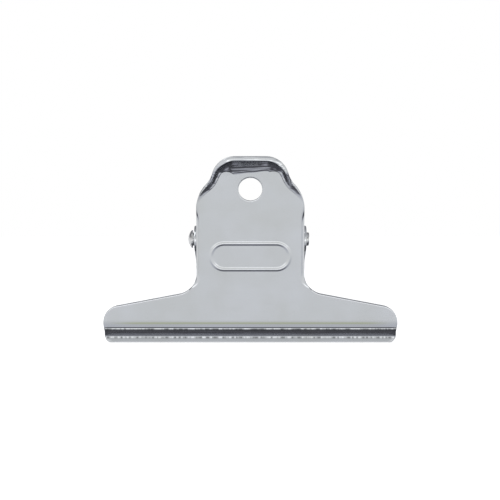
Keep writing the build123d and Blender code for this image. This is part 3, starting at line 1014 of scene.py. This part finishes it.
def wire_nodes():
    """Geometry nodes that draw a round wire along a line of edges."""
    tree = bpy.data.node_groups.new("wire along a line", "GeometryNodeTree")
    sockets = {}
    for name, kind in (
        ("Line", "NodeSocketGeometry"),
        ("Wire radius", "NodeSocketFloat"),
        ("Wire sides", "NodeSocketInt"),
        ("Wire material", "NodeSocketMaterial"),
    ):
        sockets[name] = tree.interface.new_socket(name, in_out="INPUT", socket_type=kind).identifier
    tree.interface.new_socket("Wire", in_out="OUTPUT", socket_type="NodeSocketGeometry")
    given = tree.nodes.new("NodeGroupInput").outputs
    spline = add(tree, "GeometryNodeSplineParameter", {}).outputs
    taper = add(tree, "GeometryNodeInputNamedAttribute", {"Name": "taper"}, data_type="FLOAT")
    across = {"Resolution": given["Wire sides"], "Radius": given["Wire radius"]}
    around = {"Name": "around", "Value": spline["Factor"]}
    ring = add(tree, "GeometryNodeCurvePrimitiveCircle", across).outputs["Curve"]
    ring = chain(tree, ring, ("GeometryNodeStoreNamedAttribute", around))
    tube = {"Profile Curve": ring, "Scale": taper.outputs["Attribute"], "Fill Caps": True}
    wire = chain(
        tree,
        given["Line"],
        ("GeometryNodeMeshToCurve", {}),
        ("GeometryNodeStoreNamedAttribute", {"Name": "along", "Value": spline["Length"]}),
        ("GeometryNodeCurveToMesh", tube),
        ("GeometryNodeSetShadeSmooth", {}),
        ("GeometryNodeRealizeInstances", {}),
        ("GeometryNodeSetMaterial", {"Material": given["Wire material"]}),
    )
    add(tree, "NodeGroupOutput", {"Wire": wire})
    return tree, sockets


# Rounding of the wire's tips, as shares of its radius
WIRE_TIP_ROUND = 0.25
WIRE_TIP_SCALE = 0.72


def wire_along(name, points, spring, material):
    """Plain mesh of the spring wire along its centre line, with rounded tips."""
    ends = []
    for tip, inner in ((points[0], points[1]), (points[-1], points[-2])):
        ends.append(tip + (inner - tip).normalized() * (spring.wire_radius * WIRE_TIP_ROUND))
    line = [points[0], ends[0]] + points[1:-1] + [ends[1], points[-1]]
    data = bpy.data.meshes.new(name)
    data.from_pydata(line, [(i, i + 1) for i in range(len(line) - 1)], [])
    taper = data.attributes.new("taper", "FLOAT", "POINT")
    scales = [WIRE_TIP_SCALE] + [1.0] * (len(line) - 2) + [WIRE_TIP_SCALE]
    taper.data.foreach_set("value", scales)
    piece = new_object(name, data)
    modifier = piece.modifiers.new("wire", "NODES")
    tree, sockets = wire_nodes()
    modifier.node_group = tree
    modifier[sockets["Wire radius"]] = spring.wire_radius
    modifier[sockets["Wire sides"]] = spring.wire_sides
    modifier[sockets["Wire material"]] = material
    apply_modifiers(piece)
    return piece


class CLIP_OT_plates(bpy.types.Operator):
    """Make the front and the rear plate and put each on its body"""

    bl_idname = "clip.plates"
    bl_label = "Bent plates"

    def execute(self, context):
        scene = context.scene
        sizes = scene.clip_plate
        nickel = plate_nickel(scene.clip_finish)
        for body, nested in (("front", True), ("rear", False)):
            plate = Plate(sizes, scene.clip_rivet, nested)
            mesh = plate.build(mirrored=not nested, border=nested)
            piece = finished(f"{body}_pressing", mesh, sizes.edge_round, "WEIGHT", nickel)
            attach(piece, body)
            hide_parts(f"{body}_plate")
        return {"FINISHED"}


class CLIP_OT_rivet(bpy.types.Operator):
    """Turn the pivot rivet and put it on the rear plate's body"""

    bl_idname = "clip.rivet"
    bl_label = "Pivot rivet"

    def execute(self, context):
        scene = context.scene
        rivet = scene.clip_rivet
        plate = Plate(scene.clip_plate, rivet, nested=False)
        mesh = turned_mesh(rivet_profile(rivet, plate), rivet.sides)
        piece = finished("headed_rivet", mesh, rivet.clearance, "ANGLE", rivet_nickel(scene.clip_finish))
        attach(piece, "rear")
        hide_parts("pivot_rivet")
        return {"FINISHED"}


class CLIP_OT_spring(bpy.types.Operator):
    """Wind the torsion spring between the two plates"""

    bl_idname = "clip.spring"
    bl_label = "Torsion spring"

    def execute(self, context):
        scene = context.scene
        spring = scene.clip_spring
        plate = Plate(scene.clip_plate, scene.clip_rivet, nested=True)
        points, half = spring_line(spring, plate)
        piece = wire_along("wound_spring", points, spring, drawn_wire(scene.clip_finish))
        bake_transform(piece)
        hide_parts("torsion_spring")
        return {"FINISHED"}


# Light by height, from straight down to straight up, in front of the clip and behind it
FRONT_STOPS = (
    (-0.95, (0.08, 0.08, 0.09)),
    (-0.86, (0.15, 0.15, 0.17)),
    (-0.75, (0.65, 0.66, 0.72)),
    (-0.66, (0.69, 0.70, 0.75)),
    (-0.55, (0.79, 0.80, 0.82)),
    (-0.44, (0.93, 0.94, 0.95)),
    (-0.10, (1.00, 1.00, 1.00)),
    (0.15, (1.00, 1.00, 1.00)),
    (0.31, (0.84, 0.85, 0.86)),
    (0.41, (0.62, 0.63, 0.65)),
    (1.00, (0.55, 0.56, 0.58)),
)
BACK_STOPS = (
    (-0.95, (0.08, 0.08, 0.09)),
    (-0.79, (0.14, 0.14, 0.17)),
    (-0.70, (0.66, 0.67, 0.70)),
    (-0.44, (0.93, 0.94, 0.95)),
    (0.10, (1.00, 1.00, 1.00)),
    (0.30, (0.25, 0.25, 0.27)),
    (1.00, (0.35, 0.35, 0.37)),
)

# Where the surround turns to its back, how it dips at the sides and tilts
BACK_SPAN = (-0.25, 0.25)
SIDE_SPAN = (0.6, 0.85)
SIDE_DIP = 0.6
LOW_SPAN = (-0.25, -0.45)
TILT = 0.08

# Bright strip by the lens, and the light from straight below
STRIP_EDGE = -0.92
STRIP_LOW = -0.32
STRIP_HIGH = -0.04
STRIP_LIGHT = 0.7
BELOW_SPAN = (-0.985, -1)
BELOW_LIGHT = 6.0

# Floor, and where the key light stands in camera distances
FLOOR_SIDES = 128
FLOOR_ROUGH = 0.9
KEY_SIDE = Vector((-0.6, -0.7, 0.9))


def height_ramp(tree, height, levels):
    """Light by height, from stops of level and tint."""
    ramp = add(tree, "ShaderNodeValToRGB", {"Fac": spread(tree, height, (-1, 1))})
    stops = ramp.color_ramp.elements
    while len(stops) < len(levels):
        stops.new(0.5)
    for stop, (level, tint) in zip(stops, levels):
        stop.position = (level + 1) / 2
        stop.color = (*tint, 1)
    return ramp.outputs["Color"]


def sky(scene):
    """Studio surround: pale in front and behind, dark low down, lit straight below and by the lens."""
    world = bpy.data.worlds.new("studio")
    world.use_nodes = True
    tree = world.node_tree
    toward = add(tree, "ShaderNodeTexCoord", {}).outputs["Generated"]
    split = add(tree, "ShaderNodeSeparateXYZ", {"Vector": toward}).outputs
    aside = spread(tree, calculate(tree, "ABSOLUTE", split["X"], 0), SIDE_SPAN, (0, SIDE_DIP))
    aside = calculate(tree, "MULTIPLY", aside, spread(tree, split["Z"], LOW_SPAN))
    tilted = calculate(tree, "ADD", aside, calculate(tree, "MULTIPLY", split["X"], TILT))
    height = calculate(tree, "SUBTRACT", split["Z"], tilted)
    behind = spread(tree, split["Y"], BACK_SPAN)
    front = height_ramp(tree, height, FRONT_STOPS)
    around = blend(tree, behind, front, height_ramp(tree, height, BACK_STOPS))
    lens = add(tree, "ShaderNodeLightPath", {}).outputs["Is Camera Ray"]
    strip = calculate(tree, "LESS_THAN", split["Y"], STRIP_EDGE)
    strip = calculate(tree, "MULTIPLY", strip, calculate(tree, "GREATER_THAN", split["Z"], STRIP_LOW))
    strip = calculate(tree, "MULTIPLY", strip, calculate(tree, "LESS_THAN", split["Z"], STRIP_HIGH))
    below = spread(tree, split["Z"], BELOW_SPAN, (1, BELOW_LIGHT))
    light = calculate(tree, "ADD", calculate(tree, "MULTIPLY", strip, STRIP_LIGHT), below)
    background = tree.nodes["Background"].inputs
    tree.links.new(blend(tree, lens, around, (1, 1, 1, 1)), background["Color"])
    tree.links.new(light, background["Strength"])
    scene.world = world


def pale_floor(stage):
    """Round floor that keeps its pale tone and isn't mirrored in the clip."""
    disc = bmesh.new()
    bmesh.ops.create_circle(disc, cap_ends=True, radius=stage.floor_radius, segments=FLOOR_SIDES)
    data = bpy.data.meshes.new("floor")
    disc.to_mesh(data)
    disc.free()
    paper = bpy.data.materials.new("pale_floor")
    paper.use_nodes = True
    inputs = paper.node_tree.nodes["Principled BSDF"].inputs
    inputs["Base Color"].default_value = (*stage.floor_colour, 1)
    inputs["Roughness"].default_value = FLOOR_ROUGH
    inputs["Emission Color"].default_value = (1, 1, 1, 1)
    inputs["Emission Strength"].default_value = stage.floor_glow
    data.materials.append(paper)
    floor = new_object("floor", data)
    floor.visible_glossy = False
    return floor


def aimed(name, data, place, aim):
    """Lamp or camera at a place, turned to look at the aim."""
    made = new_object(name, data)
    made.location = place
    made.rotation_euler = (aim - made.location).to_track_quat("-Z", "Y").to_euler()
    return made


class CLIP_OT_stage(bpy.types.Operator):
    """Lay the pale floor, set the soft light and point the camera"""

    bl_idname = "clip.stage"
    bl_label = "Studio"

    def execute(self, context):
        scene = context.scene
        stage = scene.clip_stage
        floor = pale_floor(stage)
        sky(scene)
        scene.view_settings.view_transform = "Standard"
        aim = Vector((-stage.aim_side, 0, stage.aim_height))

        lamp = bpy.data.lights.new("key", "AREA")
        lamp.energy = stage.light_power
        lamp.size = stage.camera_distance
        aimed("key", lamp, aim + KEY_SIDE * stage.camera_distance, aim)

        lens = bpy.data.cameras.new("camera")
        place = Vector((-stage.aim_side, -stage.camera_distance, stage.camera_height))
        scene.camera = aimed("camera", lens, place, aim)
        lens.lens = lens.sensor_width * (aim - place).length / stage.view_width
        lens.clip_end = 2 * stage.floor_radius
        return {"FINISHED"}


class CLIP_PT_panel(bpy.types.Panel):
    """Sidebar panel that lists the clip's pieces and their sizes"""

    bl_idname = "CLIP_PT_panel"
    bl_label = "Letter clip"
    bl_space_type = "VIEW_3D"
    bl_region_type = "UI"
    bl_category = "Clip"

    def draw(self, context):
        for maker in MAKERS:
            self.layout.operator(maker.bl_idname)
        for name, group in GROUPS.items():
            box = self.layout.box()
            for size in group.__annotations__:
                box.prop(getattr(context.scene, name), size)


MAKERS = (CLIP_OT_plates, CLIP_OT_rivet, CLIP_OT_spring, CLIP_OT_stage)
GROUPS = {
    "clip_plate": ClipPlateSizes,
    "clip_rivet": ClipRivetSizes,
    "clip_spring": ClipSpringSizes,
    "clip_finish": ClipFinish,
    "clip_stage": ClipStageSizes,
}
CLASSES = (*GROUPS.values(), *MAKERS, CLIP_PT_panel)


def register():
    """Add the classes and hang the sizes on the scene."""
    for each in CLASSES:
        bpy.utils.register_class(each)
    for name, group in GROUPS.items():
        setattr(bpy.types.Scene, name, PointerProperty(type=group))


def unregister():
    """Take the sizes and the classes away again."""
    for name in GROUPS:
        delattr(bpy.types.Scene, name)
    for each in reversed(CLASSES):
        bpy.utils.unregister_class(each)


def main():
    """Make every piece and the studio."""
    register()
    bpy.ops.clip.plates()
    bpy.ops.clip.rivet()
    bpy.ops.clip.spring()
    bpy.ops.clip.stage()


if __name__ == "__main__":
    main()
